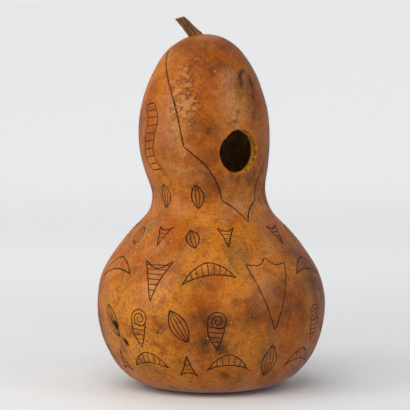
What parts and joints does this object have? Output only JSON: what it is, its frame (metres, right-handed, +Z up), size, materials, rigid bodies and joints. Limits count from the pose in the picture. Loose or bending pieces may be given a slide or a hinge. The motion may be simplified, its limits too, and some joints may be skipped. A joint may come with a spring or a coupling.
{
  "type": "dried bottle gourd",
  "caption": "Hollow dried bottle gourd with a waist, a stub of stalk, small engraved crescents, barbs, leaves and coils, and a round hole cut into its upper bulb. It stands on its foot.",
  "frame": {"origin": "middle of the flat foot, on the surface that the gourd stands on, at the centre of its box", "axes": "+Z up through the crown, -Y out of the hole in the upper bulb"},
  "size_m": [0.1666, 0.163, 0.2677],
  "materials": {
    "rind": "dried and waxed rind, satin, mottled orange brown",
    "stalk": "dry ridged stalk, matt grey brown"
  },
  "bodies": {
    "root": {"gourd_shell": "rind", "stem": "stalk"}
  },
  "joints": []
}
